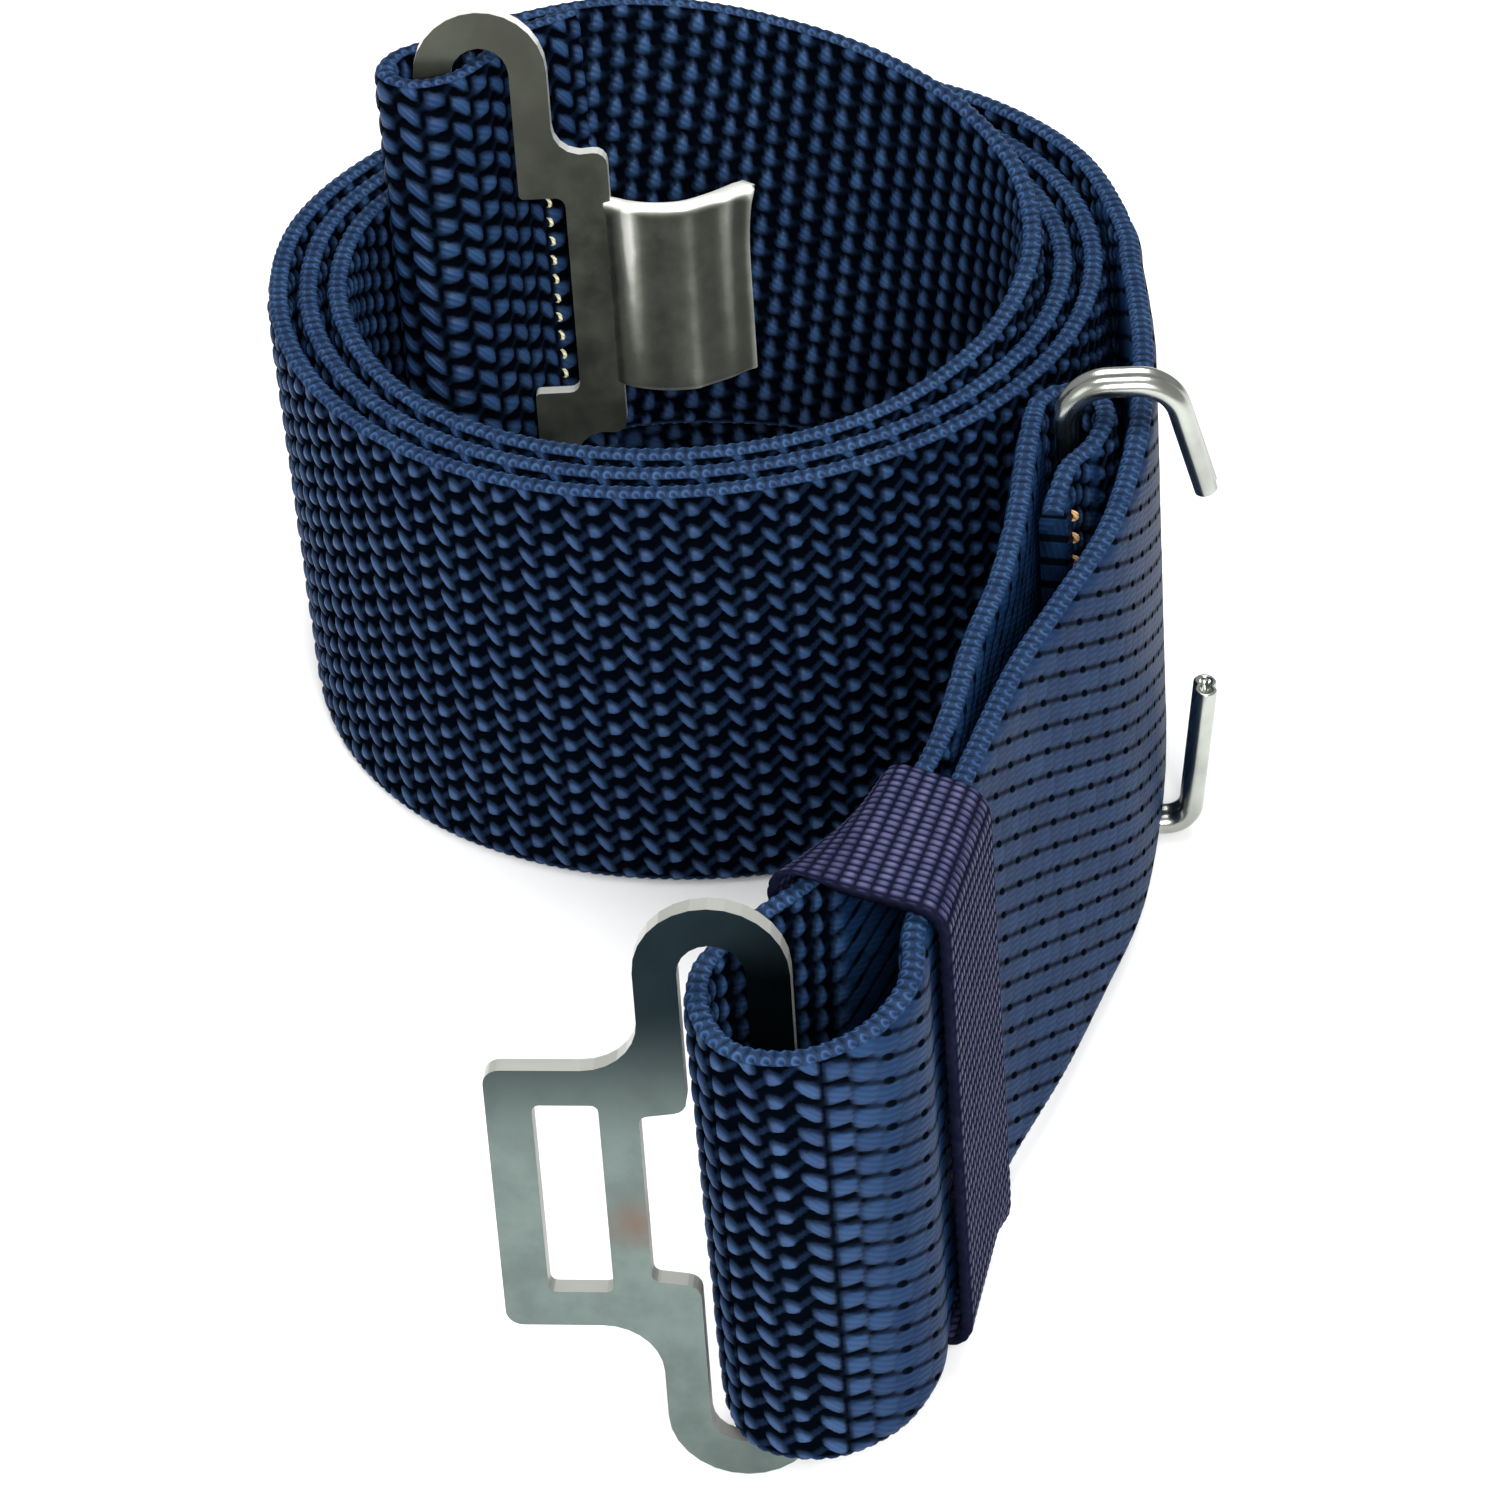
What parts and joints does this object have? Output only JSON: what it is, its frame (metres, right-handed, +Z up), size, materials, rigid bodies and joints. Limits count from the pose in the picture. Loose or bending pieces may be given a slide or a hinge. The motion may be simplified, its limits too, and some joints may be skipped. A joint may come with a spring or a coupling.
{
  "type": "gait belt",
  "caption": "Rolled gait belt of heavy webbing standing on its edge, with a hook buckle, a frame buckle, a sliding adjuster hook and a webbing keeper.",
  "frame": {"origin": "middle of the belt's box in plan, on the surface the coil stands on", "axes": "+Z up along the webbing's width, -Y from the coil towards the frame buckle's fold, +X to the right seen from the fold"},
  "size_m": [0.0954, 0.1694, 0.0726],
  "materials": {
    "navy_webbing": "coarse woven",
    "keeper_webbing": "fine plain weave",
    "nickel_frame": "satin nickel plate",
    "nickel_hook": "satin nickel plate",
    "nickel_adjuster": "bright nickel plate",
    "pale_thread": "twisted thread",
    "tan_thread": "twisted thread"
  },
  "bodies": {
    "belt": {"webbing_strap": "navy_webbing", "hook_end_stitching": "pale_thread", "adjuster_end_stitching": "tan_thread"},
    "keeper": {"keeper_loop": "keeper_webbing"},
    "frame_buckle_body": {"frame_buckle": "nickel_frame"},
    "hook_buckle_body": {"hook_buckle": "nickel_hook"},
    "adjuster": {"adjuster_hook": "nickel_adjuster"}
  },
  "joints": [
    {"name": "keeper_slide", "type": "slide", "parent": "belt", "child": "keeper", "axis": [0.41, 0.9121, 0], "range_m": [0, 0.008]},
    {"name": "frame_buckle_pivot", "type": "hinge", "parent": "belt", "child": "frame_buckle_body", "pos_m": [-0.00155, -0.07565, 0.0324], "axis": [0.0125, 0.095, 0.9954], "range_deg": [-12, 12]},
    {"name": "hook_buckle_pivot", "type": "hinge", "parent": "belt", "child": "hook_buckle_body", "pos_m": [-0.02885, 0.05765, 0.0408], "axis": [0.0129, 0.2109, 0.9774], "range_deg": [-6, 1.5]},
    {"name": "adjuster_hook_pivot", "type": "hinge", "parent": "belt", "child": "adjuster", "pos_m": [0.03265, 0.00915, 0.028], "axis": [0, 0, 1], "range_deg": [-4, 4]}
  ]
}
